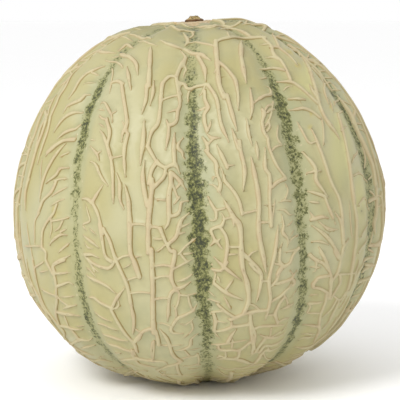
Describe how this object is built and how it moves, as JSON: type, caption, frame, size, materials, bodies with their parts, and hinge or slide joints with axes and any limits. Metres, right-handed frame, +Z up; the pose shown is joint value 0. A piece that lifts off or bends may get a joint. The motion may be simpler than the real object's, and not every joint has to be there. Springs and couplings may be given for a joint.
{
  "type": "cantaloupe melon",
  "caption": "Whole round netted cantaloupe with raised cork net over soft ribs, darker sutures between them and a short dry stem stub.",
  "frame": {"origin": "middle of the melon's box, on the plane of the flat spot it rests on", "axes": "+Z up towards the stem stub, -Y the side seen in the picture, +X to that view's right"},
  "size_m": [0.1417, 0.1387, 0.1363],
  "materials": {
    "rind": "pale yellow-green rind under a cream cork net, with mottled dark green sutures",
    "stub": "dry fibrous tan-brown stem"
  },
  "bodies": {
    "root": {"melon": "rind", "stem_stub": "stub"}
  },
  "joints": []
}
